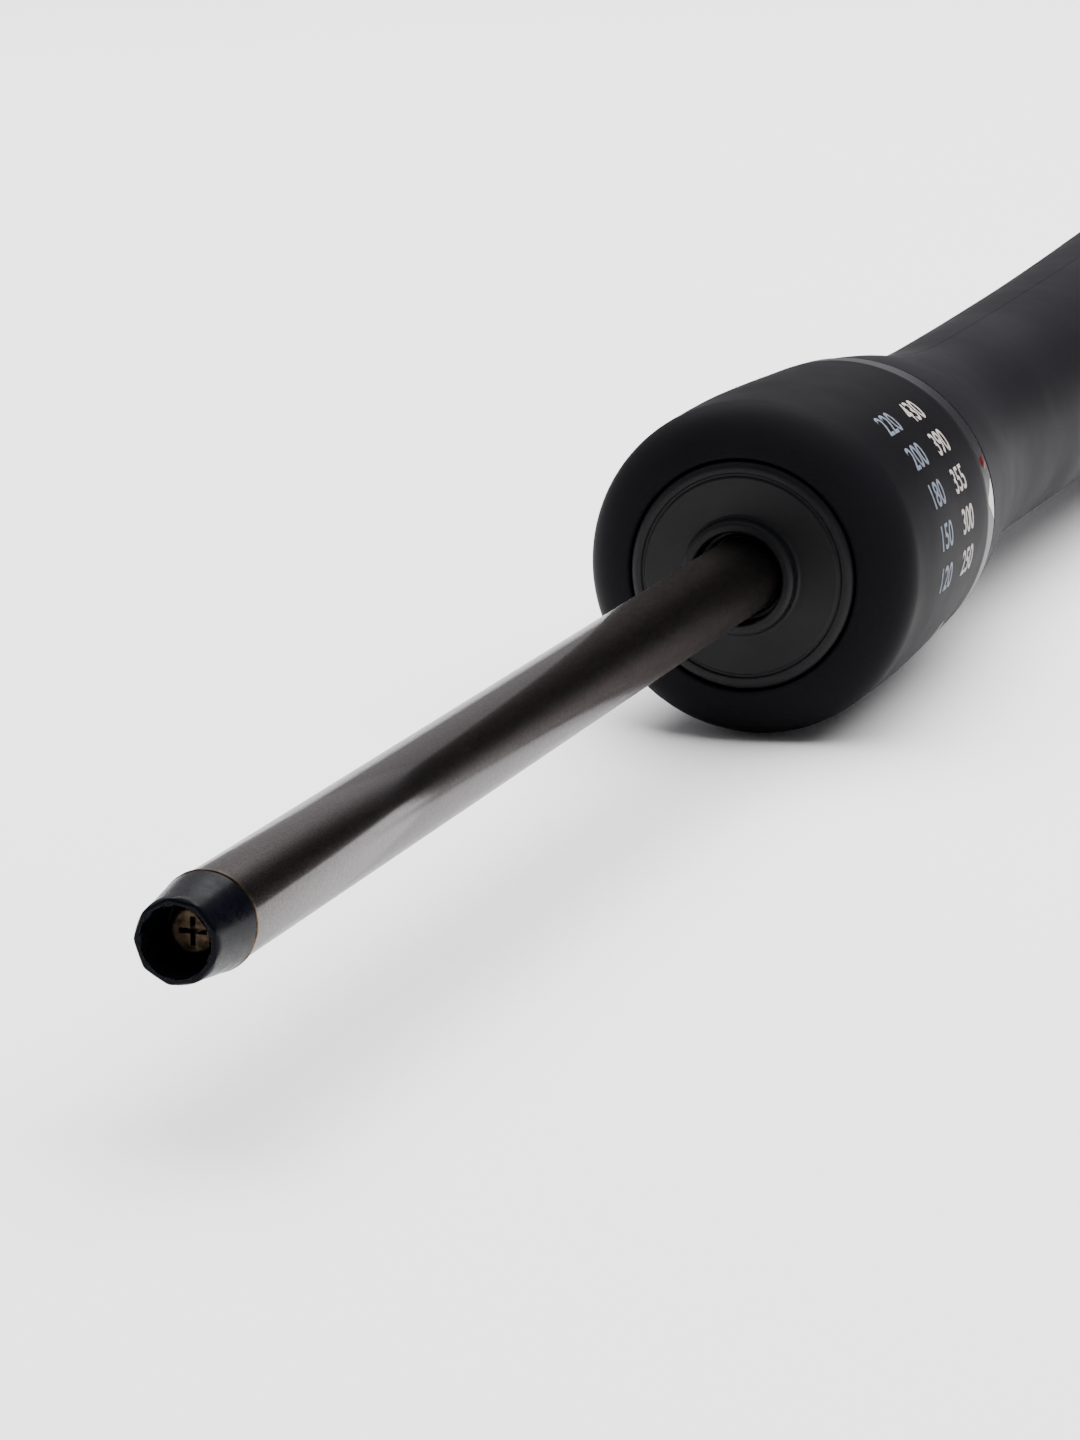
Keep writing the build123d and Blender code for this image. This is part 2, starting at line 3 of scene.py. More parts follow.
import bmesh
import bpy
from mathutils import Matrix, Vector


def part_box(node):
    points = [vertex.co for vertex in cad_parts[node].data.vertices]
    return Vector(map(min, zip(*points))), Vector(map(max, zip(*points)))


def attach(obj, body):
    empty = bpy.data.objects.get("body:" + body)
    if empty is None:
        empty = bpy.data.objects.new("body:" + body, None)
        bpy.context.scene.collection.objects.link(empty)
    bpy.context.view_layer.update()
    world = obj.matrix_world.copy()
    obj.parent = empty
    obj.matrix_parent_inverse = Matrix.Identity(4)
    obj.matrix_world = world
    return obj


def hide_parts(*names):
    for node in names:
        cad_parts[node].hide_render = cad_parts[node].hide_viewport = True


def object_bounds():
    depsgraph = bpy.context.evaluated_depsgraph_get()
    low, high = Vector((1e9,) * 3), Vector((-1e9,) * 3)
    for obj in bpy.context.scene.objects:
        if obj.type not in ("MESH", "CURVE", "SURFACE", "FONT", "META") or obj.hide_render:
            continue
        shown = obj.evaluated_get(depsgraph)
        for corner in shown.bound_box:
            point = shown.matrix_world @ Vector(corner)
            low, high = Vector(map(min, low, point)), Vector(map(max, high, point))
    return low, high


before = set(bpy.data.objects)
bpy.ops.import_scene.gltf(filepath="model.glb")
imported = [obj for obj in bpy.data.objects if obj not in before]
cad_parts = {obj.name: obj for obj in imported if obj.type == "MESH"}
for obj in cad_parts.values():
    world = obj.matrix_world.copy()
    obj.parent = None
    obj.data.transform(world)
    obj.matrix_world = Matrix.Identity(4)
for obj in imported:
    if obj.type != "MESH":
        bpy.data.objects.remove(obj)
cad_low, cad_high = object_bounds()

MM = 0.001
AROUND = 192                     # facets round the axis of a turned piece
AROUND_SMALL = 128
AROUND_LARGE = 256               # the same for the wide pieces, and for the barrel in close view


def span(node):
    """Front X, rear X and radius of a CAD node that is round about the X axis, in millimetres."""
    low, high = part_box(node)
    return high[0] / MM, low[0] / MM, (high[2] - low[2]) / 2 / MM


barrel_front, barrel_root, barrel_radius = span("barrel_tube")
mouth_x, cap_base_x, cap_base_radius = span("tip_cap")
washer_front_x, washer_back_x, washer_radius = span("tip_washer")
plate_front_x, plate_back_x, plate_flange_radius = span("front_plate")
dial_front_x, dial_back_x, dial_radius = span("dial_shell")
collar_front_x, collar_back_x, collar_radius = span("neck_collar")
handle_front_x, handle_back_x, _ = span("handle_left")
end_front_x, end_back_x, end_radius = span("end_cap")
gland_front_x, gland_back_x, gland_flange_radius = span("swivel_gland")


# ---- mesh helpers -------------------------------------------------------------------------------
def new_object(name, bm, material, body):
    """Turns a bmesh in millimetres into a smooth object in metres that rides on a body."""
    bmesh.ops.remove_doubles(bm, verts=bm.verts, dist=1e-6)
    bmesh.ops.recalc_face_normals(bm, faces=bm.faces)
    bmesh.ops.scale(bm, vec=(MM, MM, MM), verts=bm.verts)
    mesh = bpy.data.meshes.new(name)
    bm.to_mesh(mesh)
    bm.free()
    mesh.shade_smooth()
    mesh.materials.append(material)
    piece = bpy.data.objects.new(name, mesh)
    bpy.context.scene.collection.objects.link(piece)
    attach(piece, body)
    return piece


def rounded(corners, steps=6):
    """Closed outline with its corners rounded. Each corner is (x, radius, fillet)."""
    points = []
    count = len(corners)
    for i, (x, r, fillet) in enumerate(corners):
        here = Vector((x, r))
        before = Vector(corners[i - 1][:2]) - here
        after = Vector(corners[(i + 1) % count][:2]) - here
        if fillet <= 0:
            points.append(here)
            continue
        a, b = before.normalized(), after.normalized()
        half = acos(max(-1.0, min(1.0, a.dot(b)))) / 2
        reach = fillet / tan(half)
        centre = here + (a + b).normalized() * (fillet / sin(half))
        start, end = here + a * reach, here + b * reach
        hold = min(0.08, before.length / 8, after.length / 8)
        points.append(start + a * hold)
        first, last = start - centre, end - centre
        opening = atan2(first.y, first.x)
        sweep = (atan2(last.y, last.x) - opening + pi) % (2 * pi) - pi
        for step in range(steps + 1):
            turn = opening + sweep * step / steps
            points.append(centre + Vector((cos(turn), sin(turn))) * fillet)
        points.append(end + b * hold)
    return points


def turned(points, around=AROUND, warp=None):
    """Spins a closed outline of (x, radius) points about the X axis; warp may change a radius."""
    bm = bmesh.new()
    rings = []
    for x, r in points:
        ring = []
        for k in range(around):
            angle = 2 * pi * k / around
            reach = warp(x, r, angle) if warp else r
            ring.append(bm.verts.new((x, reach * cos(angle), reach * sin(angle))))
        rings.append(ring)
    for i, ring in enumerate(rings):
        other = rings[(i + 1) % len(rings)]
        for k in range(around):
            n = (k + 1) % around
            bm.faces.new((ring[k], ring[n], other[n], other[k]))
    return bm


def cubic(points, x):
    """Smooth curve through (x, y) points in falling order of x."""
    xs = [p[0] for p in points]
    ys = [p[1] for p in points]
    last = len(points) - 1
    slopes = []
    for i in range(last + 1):
        low, high = max(i - 1, 0), min(i + 1, last)
        slopes.append((ys[high] - ys[low]) / (xs[high] - xs[low]))
    i = 0
    while i < last - 1 and x < xs[i + 1]:
        i += 1
    width = xs[i + 1] - xs[i]
    t = (x - xs[i]) / width
    return (
        (2 * t**3 - 3 * t**2 + 1) * ys[i]
        + (t**3 - 2 * t**2 + t) * width * slopes[i]
        + (3 * t**2 - 2 * t**3) * ys[i + 1]
        + (t**3 - t**2) * width * slopes[i + 1]
    )


# ---- materials ----------------------------------------------------------------------------------
# The base colours are fitted to the photograph under this scene's light and view transform. They
# are darker, and less specular, than real black plastics.
class Shader:
    """A Principled material with short calls for its procedural inputs."""

    def __init__(self, name, **sockets):
        self.material = bpy.data.materials.new(name)
        self.material.use_nodes = True
        self.nodes = self.material.node_tree.nodes
        self.links = self.material.node_tree.links
        self.principled = self.nodes["Principled BSDF"]
        for socket, value in sockets.items():
            self.principled.inputs[socket.replace("_", " ")].default_value = value
        self.coordinates = self.nodes.new("ShaderNodeTexCoord").outputs["Object"]

    def noise(self, scale, detail=2.0, roughness=0.5, stretch=None):
        node = self.nodes.new("ShaderNodeTexNoise")
        node.inputs["Scale"].default_value = scale
        node.inputs["Detail"].default_value = detail
        node.inputs["Roughness"].default_value = roughness
        self.links.new(self.stretched(stretch), node.inputs["Vector"])
        return node.outputs["Fac"]

    def cells(self, scale):
        node = self.nodes.new("ShaderNodeTexVoronoi")
        node.inputs["Scale"].default_value = scale
        self.links.new(self.coordinates, node.inputs["Vector"])
        grey = self.nodes.new("ShaderNodeSeparateColor")
        self.links.new(node.outputs["Color"], grey.inputs["Color"])
        return grey.outputs["Red"]

    def stretched(self, stretch):
        if stretch is None:
            return self.coordinates
        node = self.nodes.new("ShaderNodeMapping")
        node.inputs["Scale"].default_value = stretch
        self.links.new(self.coordinates, node.inputs["Vector"])
        return node.outputs["Vector"]

    def ranged(self, value, low, high, start=0.3, stop=0.7):
        node = self.nodes.new("ShaderNodeMapRange")
        node.inputs["From Min"].default_value = start
        node.inputs["From Max"].default_value = stop
        node.inputs["To Min"].default_value = low
        node.inputs["To Max"].default_value = high
        self.links.new(value, node.inputs["Value"])
        return node.outputs["Result"]

    def colour(self, value, dark, light, start=0.3, stop=0.7):
        node = self.nodes.new("ShaderNodeValToRGB")
        node.color_ramp.elements[0].position = start
        node.color_ramp.elements[1].position = stop
        node.color_ramp.elements[0].color = (*dark, 1)
        node.color_ramp.elements[1].color = (*light, 1)
        self.links.new(value, node.inputs["Fac"])
        self.links.new(node.outputs["Color"], self.principled.inputs["Base Color"])
        return node

    def roughen(self, value, low, high, start=0.3, stop=0.7):
        roughness = self.ranged(value, low, high, start, stop)
        self.links.new(roughness, self.principled.inputs["Roughness"])

    def bump(self, value, height, below=None):
        node = self.nodes.new("ShaderNodeBump")
        node.inputs["Strength"].default_value = 1.0
        node.inputs["Distance"].default_value = height
        self.links.new(value, node.inputs["Height"])
        if below is not None:
            self.links.new(below, node.inputs["Normal"])
        self.links.new(node.outputs["Normal"], self.principled.inputs["Normal"])
        return node.outputs["Normal"]


def soft_touch(name, dark, light, grain=5e-6):
    """Rubbery coating on moulded plastic: very fine grain, faint handling marks."""
    s = Shader(name, Specular_IOR_Level=0.03)
    s.colour(s.noise(34, 3), dark, light)
    s.roughen(s.noise(55, 4), 0.5, 0.62)
    waves = s.bump(s.noise(420, 2), 0.4e-6)
    s.bump(s.noise(5200, 2), grain, waves)
    return s.material


def satin_plastic(name, dark, light, rough=(0.28, 0.4)):
    """Moulded plastic with a fine spark-eroded surface."""
    s = Shader(name, Specular_IOR_Level=0.17)
    s.colour(s.noise(60, 3), dark, light)
    s.roughen(s.noise(140, 3), *rough)
    s.bump(s.noise(3800, 2), 2.5e-6)
    return s.material


def gloss_plastic(name, dark, light):
    """Polished moulded plastic with slight flow waviness and hairline scuffs."""
    s = Shader(name, Specular_IOR_Level=0.05)
    s.colour(s.noise(300, 2), dark, light)
    s.roughen(s.noise(900, 4), 0.22, 0.34)
    waves = s.bump(s.noise(330, 1), 6e-6)
    s.bump(s.noise(2600, 2, stretch=(0.2, 1, 1)), 1.0e-6, waves)
    return s.material


def coated_barrel(name):
    """Clear gloss over a dark layer full of fine metal flakes, faintly polished lengthwise."""
    s = Shader(name, Metallic=1.0, Coat_Weight=0.5, Coat_Roughness=0.14, Coat_IOR=1.45)
    s.principled.inputs["Specular Tint"].default_value = (0.44, 0.42, 0.425, 1)
    s.colour(s.cells(9500), (0.040, 0.0350, 0.0325), (0.112, 0.101, 0.096), 0.05, 0.95)
    s.roughen(s.noise(2400, 3), 0.34, 0.42)
    s.bump(s.noise(1500, 2, stretch=(0.02, 1, 1)), 0.4e-6)
    return s.material


def bare_metal(name, dark, light, rough=(0.22, 0.38), grain=900):
    """Plain metal with tool marks."""
    s = Shader(name, Metallic=1.0)
    s.colour(s.noise(grain, 3), dark, light)
    s.roughen(s.noise(grain * 1.7, 2), *rough)
    s.bump(s.noise(grain * 4, 2), 2e-6)
    return s.material


def printed_ink(name, dark, light):
    """Pad-printed ink, slightly uneven in density."""
    s = Shader(name, Specular_IOR_Level=0.35)
    s.colour(s.noise(1800, 3), dark, light)
    s.roughen(s.noise(900, 2), 0.5, 0.65)
    return s.material


def resin(name, dark, light):
    """Dull filled resin, ceramic or board, mottled and slightly rough."""
    s = Shader(name, Specular_IOR_Level=0.4)
    s.colour(s.noise(700, 4), dark, light)
    s.roughen(s.noise(500, 3), 0.5, 0.7)
    s.bump(s.noise(2500, 3), 6e-6)
    return s.material


charcoal = soft_touch(
    "charcoal_soft_touch", (0.0036, 0.0034, 0.0042), (0.0056, 0.0053, 0.0065)
)
handle_grey = soft_touch(
    "handle_soft_touch", (0.0060, 0.0056, 0.0068), (0.0088, 0.0083, 0.0099)
)
plate_black = satin_plastic(
    "plate_satin_black", (0.0017, 0.0018, 0.0023), (0.0030, 0.0031, 0.0039), (0.4, 0.5)
)
collar_grey = satin_plastic(
    "collar_satin_grey", (0.0110, 0.0105, 0.0122), (0.0160, 0.0154, 0.0174), (0.3, 0.4)
)
cool_tip_black = gloss_plastic("cool_tip_black", (0.0009, 0.0011, 0.0020), (0.0018, 0.0022, 0.0038))
barrel_coat = coated_barrel("barrel_titanium")
brown_metal = bare_metal(
    "washer_brown_metal", (0.030, 0.020, 0.013), (0.11, 0.074, 0.046), (0.3, 0.45)
)
steel = bare_metal("steel", (0.42, 0.40, 0.37), (0.62, 0.60, 0.56))
# Painted shade: the tip screw's steel is painted near-black as the shade inside the cap's bore, and
# the lighter patches of its colour noise are painted glints.
tip_screw_shaded_steel = bare_metal(
    "tip_screw_steel_painted_shade", (0.0025, 0.0020, 0.0016), (0.050, 0.035, 0.022), (0.25, 0.5)
)
brass = bare_metal("brass", (0.56, 0.40, 0.16), (0.74, 0.56, 0.26))
aluminium = bare_metal("aluminium", (0.60, 0.60, 0.61), (0.76, 0.76, 0.77))
ceramic = resin("ceramic", (0.70, 0.68, 0.62), (0.82, 0.80, 0.75))
brown_resin = resin("brown_resin", (0.07, 0.04, 0.025), (0.11, 0.065, 0.04))
inner_plastic = resin("inner_plastic", (0.045, 0.045, 0.047), (0.065, 0.065, 0.066))
board_green = resin("board_green", (0.016, 0.075, 0.032), (0.028, 0.11, 0.05))
terminal_green = resin("terminal_green", (0.03, 0.13, 0.07), (0.045, 0.18, 0.10))
chip_black = resin("chip_black", (0.012, 0.012, 0.013), (0.022, 0.022, 0.023))
box_yellow = resin("component_yellow", (0.45, 0.26, 0.04), (0.58, 0.36, 0.07))
silicone = resin("silicone_wire", (0.55, 0.53, 0.48), (0.68, 0.66, 0.61))
warm_ink = printed_ink("ink_warm_white", (0.25, 0.232, 0.215), (0.36, 0.335, 0.31))
white_ink = printed_ink("ink_white", (0.50, 0.48, 0.46), (0.62, 0.60, 0.57))
cool_ink = printed_ink("ink_cool_grey", (0.085, 0.098, 0.13), (0.13, 0.148, 0.185))
led_red = gloss_plastic("indicator_red", (0.055, 0.004, 0.005), (0.090, 0.007, 0.008))

cad_materials = {
    "tip_screw": tip_screw_shaded_steel,
    "tip_plug": steel,
    "heater_strip": ceramic,
    "heater_clamp_upper": aluminium,
    "heater_clamp_lower": aluminium,
    "lead_insulator": ceramic,
    "heater_leads": silicone,
    "thermistor": silicone,
    "barrel_holder": brown_resin,
    "barrel_clip": steel,
    "spindle": inner_plastic,
    "plate_screws": steel,
    "detent_ball": steel,
    "detent_spring": steel,
    "detent_ring": inner_plastic,
    "wiper_ring": inner_plastic,
    "wiper_contacts": brass,
    "dial_bearing": inner_plastic,
    "track_board": board_green,
    "indicator_led": led_red,
    "handle_screws": steel,
    "circuit_board": board_green,
    "terminal_blocks": terminal_green,
    "control_chip": chip_black,
    "capacitor": box_yellow,
    "triac": chip_black,
    "thermal_fuse": steel,
    "resistors": box_yellow,
    "mains_leads": silicone,
    "brush_mount": inner_plastic,
    "contact_brushes": brass,
    "contact_pin": brass,
    "pin_insulator": inner_plastic,
    "contact_ring": brass,
    "thrust_ring": inner_plastic,
}
for node, material in cad_materials.items():
    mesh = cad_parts[node].data
    mesh.materials.clear()
    mesh.materials.append(material)


# ---- tip and barrel -----------------------------------------------------------------------------
cap_sides = 9
cap_bore = 3.16
cap_floor_x = cap_base_x + 1.5
mouth_radius = 3.9
screw_bore = 1.45                # hole for the tip screw through the cap and the washer
facet_slope = tan(radians(32))
mouth_apothem = mouth_radius * cos(pi / cap_sides)


def nine_sided(x, r, angle):
    """Cuts the cap's outer wall by nine slanting flats near the mouth, with softened corners."""
    if r < cap_bore + 0.2:
        return r
    sector = 2 * pi / cap_sides
    offset = (angle + sector / 2) % sector - sector / 2
    flat = (mouth_apothem + (mouth_x - x) * facet_slope) / cos(offset)
    inset = max(0.0, mouth_radius + (mouth_x - x) * 0.11 - r)
    softness = 0.05
    gap = flat - inset - r
    return r + (gap - sqrt(gap * gap + softness * softness)) / 2


cap_outline = rounded(
    [
        (cap_base_x, screw_bore, 0),
        (cap_base_x, cap_base_radius - 0.02, 0.18),
        (cap_base_x + 2.4, 4.40, 0),
        (cap_base_x + 5.2, 4.06, 0),
        (mouth_x - 1.1, 3.99, 0),
        (mouth_x - 0.7, 3.96, 0),
        (mouth_x - 0.4, 3.93, 0),
        (mouth_x, mouth_radius, 0.16),
        (mouth_x, cap_bore, 0.14),
        (cap_floor_x, cap_bore, 0.3),
        (cap_floor_x, screw_bore, 0),
    ]
)
cap = new_object("cool_tip", turned(cap_outline, 216, nine_sided), cool_tip_black, "handle")
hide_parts("tip_cap")

washer_outline = rounded(
    [
        (washer_front_x, screw_bore, 0),
        (washer_front_x, washer_radius - 0.005, 0.12),
        (washer_back_x, washer_radius - 0.005, 0.12),
        (washer_back_x, screw_bore, 0),
    ]
)
washer = new_object("tip_ring", turned(washer_outline), brown_metal, "handle")
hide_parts("tip_washer")

tube_outline = rounded(
    [
        (barrel_front, barrel_radius - 0.5, 0),
        (barrel_front, barrel_radius, 0.12),
        (barrel_root, barrel_radius, 0),
        (barrel_root, barrel_radius - 0.5, 0),
    ]
)
tube = new_object("barrel", turned(tube_outline, AROUND_LARGE), barrel_coat, "handle")
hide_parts("barrel_tube")

# ---- head ---------------------------------------------------------------------------------------
boss_radius = 6.75
plate_radius = 13.44
boss_bore = 5.4
tube_hole = 4.6
groove_floor_x = -0.18
plate_side_x = -2.9
clip_recess = 6.55
plate_outline = rounded(
    [
        (plate_front_x, boss_bore, 0.3),
        (plate_front_x, boss_radius, 0.6),
        (0.0, boss_radius + 0.15, 0.4),
        (0.0, plate_radius - 1.9, 0.3),
        (groove_floor_x, plate_radius - 1.7, 0.12),
        (groove_floor_x, plate_radius - 1.5, 0.12),
        (0.0, plate_radius - 1.3, 0.25),
        (0.0, plate_radius, 0.9),
        (plate_side_x, plate_radius, 0),
        (plate_side_x, plate_flange_radius, 0.2),
        (plate_back_x, plate_flange_radius, 0.2),
        (plate_back_x, clip_recess, 0),
        (-1.2, clip_recess, 0),
        (-1.2, tube_hole, 0),
        (-0.6, tube_hole, 0),
        (-0.6, boss_bore, 0.2),
    ]
)
plate = new_object("face_plate", turned(plate_outline, AROUND_LARGE), plate_black, "handle")
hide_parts("front_plate")

lip_radius = 13.75
dial_lip_depth = 2.2
dial_seat_radius = 15.3
dial_inner_radius = 17.15
shoulder_radius = 6.0
belly_x = -20.0
belly_radius = dial_radius - 0.07   # the smooth curve and the ink then stay inside the CAD box
rear_radius = 18.9
rim_round = 0.35
lip_outer = 18.0                    # the collar's lip runs in a rebate of the dial, hiding the gap
lip_clearance = 0.15
lip_reach = 1.3
lip_thickness = 1.2
spindle_hole = 14.05
collar_surface_radius = collar_radius - 0.08


def dial_surface(x):
    """Outer radius of the dial at X: a quarter-round shoulder, then a shallow belly."""
    shoulder_back = dial_front_x - shoulder_radius
    if x > shoulder_back:
        return lip_radius + sqrt(max(0.0, shoulder_radius**2 - (x - shoulder_back) ** 2))
    peak = lip_radius + shoulder_radius
    return cubic([(shoulder_back, peak), (belly_x, belly_radius), (dial_back_x, rear_radius)], x)


belly_steps = 39
dial_points = [Vector((dial_front_x - dial_lip_depth, lip_radius))]
for step in range(25):
    angle = radians(90 * step / 24)
    x = dial_front_x - shoulder_radius * (1 - cos(angle))
    dial_points.append(Vector((x, lip_radius + shoulder_radius * sin(angle))))
shoulder_end_x = dial_front_x - shoulder_radius
belly_span = dial_back_x + rim_round - dial_front_x + shoulder_radius
for step in range(1, belly_steps + 1):
    x = shoulder_end_x + belly_span * step / belly_steps
    dial_points.append(Vector((x, dial_surface(x))))
for step in range(1, 7):
    angle = radians(90 * step / 6)
    x = dial_back_x + rim_round - rim_round * sin(angle)
    dial_points.append(Vector((x, rear_radius - rim_round + rim_round * cos(angle))))
inside_of_dial = [
    (dial_back_x, lip_outer + lip_clearance),
    (dial_back_x + lip_reach, lip_outer + lip_clearance),
    (dial_back_x + lip_reach, dial_inner_radius),
    (-7.6, dial_inner_radius),
    (-5.2, dial_seat_radius),
    (dial_front_x - dial_lip_depth, dial_seat_radius),
]
dial_points += [Vector(point) for point in inside_of_dial]
dial = new_object("temperature_dial", turned(dial_points, AROUND_LARGE), charcoal, "dial")
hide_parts("dial_shell")

collar_outline = rounded(
    [
        (collar_front_x, spindle_hole, 0),
        (collar_front_x, lip_outer - lip_thickness, 0),
        (collar_front_x + lip_reach, lip_outer - lip_thickness, 0),
        (collar_front_x + lip_reach, lip_outer, 0.1),
        (collar_front_x, lip_outer, 0),
        (collar_front_x, collar_surface_radius, 0.3),
        (collar_back_x, collar_surface_radius, 0.6),
        (collar_back_x, spindle_hole, 0),
    ]
)
collar = new_object("neck_ring", turned(collar_outline, AROUND_LARGE), collar_grey, "handle")
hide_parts("neck_collar")

# ---- printing on the dial -----------------------------------------------------------------------
setting_step = 14.7
index_angle = 6.6
settings = [(220, 430), (200, 390), (180, 355), (150, 300), (120, 250)]
first_setting = index_angle + 3 * setting_step
ink_height = 0.03
digit_height = 3.1
font_scale = 1.38                # font size over the height of its digits
front_row_x = -19.5
rear_row_x = -31.5
off_notch = 6


def wrapped(bm, x, angle, surface):
    """Lays a flat drawing round the axis: its X runs to the handle, its Y up round the body."""
    for vert in bm.verts:
        u, v, w = vert.co
        place = x - u
        reach = surface(place)
        turn = radians(angle) + v / reach
        reach += ink_height / 2 + w
        vert.co = (place, reach * cos(turn), reach * sin(turn))


def lettering(text, size):
    """Centred text as a thin closed mesh in millimetres."""
    curve = bpy.data.curves.new("lettering", "FONT")
    curve.body = text
    curve.size = size
    curve.align_x = "CENTER"
    curve.align_y = "CENTER"
    curve.extrude = ink_height / 2
    curve.offset = 0.05
    holder = bpy.data.objects.new("lettering", curve)
    bpy.context.scene.collection.objects.link(holder)
    graph = bpy.context.evaluated_depsgraph_get()
    mesh = bpy.data.meshes.new_from_object(holder.evaluated_get(graph))
    bm = bmesh.new()
    bm.from_mesh(mesh)
    bpy.data.objects.remove(holder)
    long_edges = [e for e in bm.edges if e.calc_length() > 0.5]
    bmesh.ops.subdivide_edges(bm, edges=long_edges, cuts=2)
    return bm


def print_number(name, number, x, angle, ink):
    """One printed number on the dial, which it rides on."""
    bm = lettering(str(number), digit_height * font_scale)
    wrapped(bm, x, angle, dial_surface)
    piece = new_object(name, bm, ink, "dial")


for place, (celsius, fahrenheit) in enumerate(settings):
    angle = first_setting - place * setting_step
    print_number(f"mark_c_{celsius}", celsius, front_row_x, angle, cool_ink)
    print_number(f"mark_f_{fahrenheit}", fahrenheit, rear_row_x, angle, warm_ink)
print_number("mark_off", 0, rear_row_x, first_setting - off_notch * setting_step, warm_ink)

# Index mark on the collar and the small red indicator beside it.


def collar_surface(x):
    """Outer radius of the collar, the same at every X."""
    return collar_surface_radius


mark_length = 2.3
mark_width = 5.0
mark_tip = 0.12                     # share of the width left at the pointed end
pointer = bmesh.new()
columns, rows = 8, 10
grid = []
for i in range(columns + 1):
    width = mark_width * (mark_tip + (1 - mark_tip) * i / columns)
    along = mark_length * (i / columns - 0.5)
    grid.append([(along, width * (j / rows - 0.5)) for j in range(rows + 1)])
for level in (-ink_height / 2, ink_height / 2):
    sheet = [[pointer.verts.new((*p, level)) for p in column] for column in grid]
    for i in range(columns):
        for j in range(rows):
            pointer.faces.new((sheet[i][j], sheet[i + 1][j], sheet[i + 1][j + 1], sheet[i][j + 1]))
rims = [e for e in pointer.edges if e.is_boundary]
bmesh.ops.bridge_loops(pointer, edges=rims)
wrapped(pointer, (collar_front_x + collar_back_x) / 2, index_angle, collar_surface)
index_mark = new_object("index_mark", pointer, white_ink, "handle")

lens_low, lens_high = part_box("led_lens")
lens_centre = (lens_low + lens_high) / 2 / MM
lens_angle = atan2(lens_centre.z, lens_centre.y)
lens_radius = 0.9
lens_depth = 1.5
lens_sunk = 0.2
lens_dome = 0.28
lens_sides = 32
lens_steps = 7
lens = bmesh.new()
lens_rings = [(collar_radius - lens_depth, 1.0)]
for step in range(lens_steps):
    angle = radians(90 * step / lens_steps)
    lens_rings.append((collar_radius - lens_sunk + lens_dome * sin(angle), cos(angle)))
previous = None
outward = Vector((0, cos(lens_angle), sin(lens_angle)))
sideways = Vector((0, -sin(lens_angle), cos(lens_angle)))
for height, share in lens_rings:
    ring = []
    for k in range(lens_sides):
        turn = 2 * pi * k / lens_sides
        arm = Vector((1, 0, 0)) * cos(turn) + sideways * sin(turn)
        place = outward * height + arm * lens_radius * share
        place.x += lens_centre.x
        ring.append(lens.verts.new(place))
    if previous is None:
        lens.faces.new(ring)
    else:
        for k in range(lens_sides):
            n = (k + 1) % lens_sides
            lens.faces.new((previous[k], previous[n], ring[n], ring[k]))
    previous = ring
lens.faces.new(previous)
lens_piece = new_object("indicator_lens", lens, led_red, "handle")
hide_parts("led_lens")

# ---- handle -------------------------------------------------------------------------------------
handle_curve = [
    (handle_front_x, 18.55),
    (-60.0, 17.2),
    (-72.0, 15.4),
    (-84.0, 14.25),
    (-100.0, 13.9),
    (-152.0, 14.4),
    (-186.0, 15.1),
    (handle_back_x, end_radius),
]
wall = 2.0
seam_gap = 0.008
seam_round = 0.06


def half_section(reach, side):
    """Points of one half of the handle's wall, its seam edges rounded, on the +Y or -Y side."""
    inner = reach - wall
    points = []
    for step in range(6):
        turn = radians(90 * step / 5)
        y = seam_gap + seam_round * (1 - cos(turn))
        points.append((y, -(reach - seam_round) - seam_round * sin(turn)))
    start = atan2(-reach, seam_gap + seam_round)
    for step in range(1, 96):
        turn = start + (-2 * start) * step / 96
        points.append((reach * cos(turn), reach * sin(turn)))
    for step in range(5, -1, -1):
        turn = radians(90 * step / 5)
        y = seam_gap + seam_round * (1 - cos(turn))
        points.append((y, (reach - seam_round) + seam_round * sin(turn)))
    start = atan2(inner, seam_gap)
    for step in range(49):
        turn = start - 2 * start * step / 48
        points.append((inner * cos(turn), inner * sin(turn)))
    return [(side * y, z) for y, z in points]


def handle_half(side):
    """One half of the handle, lofted through its sections from the collar to the end cap."""
    bm = bmesh.new()
    stations = 150
    previous = None
    for step in range(stations + 1):
        x = handle_front_x + (handle_back_x - handle_front_x) * step / stations
        section = half_section(cubic(handle_curve, x), side)
        ring = [bm.verts.new((x, y, z)) for y, z in section]
        if previous is None:
            bm.faces.new(ring)
        else:
            for k in range(len(ring)):
                n = (k + 1) % len(ring)
                bm.faces.new((previous[k], previous[n], ring[n], ring[k]))
        previous = ring
    bm.faces.new(previous)
    return bm


left = new_object("handle_shell_left", handle_half(1), handle_grey, "handle")
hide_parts("handle_left")
right = new_object("handle_shell_right", handle_half(-1), handle_grey, "handle")
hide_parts("handle_right")

# Screw wells in the right shell: a boss joined to the wall, then a counterbore.
screw_low, screw_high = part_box("handle_screws")
screw_head = 2.3
boss_z = (screw_low.z + screw_high.z) / 2 / MM
screw_first = screw_low.x / MM + screw_head
screw_last = screw_high.x / MM - screw_head
well_steps = ((3.1, -3.0, -9.2, "UNION"), (2.5, -7.7, -20.0, "DIFFERENCE"))
screw_count = 3
for station in range(screw_count):
    x = screw_first + (screw_last - screw_first) * station / (screw_count - 1)
    for radius, inner_y, outer_y, operation in well_steps:
        bpy.ops.mesh.primitive_cylinder_add(
            vertices=48,
            radius=radius * MM,
            depth=(inner_y - outer_y) * MM,
            location=(x * MM, (inner_y + outer_y) / 2 * MM, boss_z * MM),
            rotation=(radians(90), 0, 0),
        )
        cutter = bpy.context.object
        cut = right.modifiers.new("well", "BOOLEAN")
        cut.operation = operation
        cut.object = cutter
        cut.solver = "EXACT"
        bpy.context.view_layer.objects.active = right
        bpy.ops.object.modifier_apply(modifier=cut.name)
        bpy.data.objects.remove(cutter)
edges = bmesh.new()
edges.from_mesh(right.data)
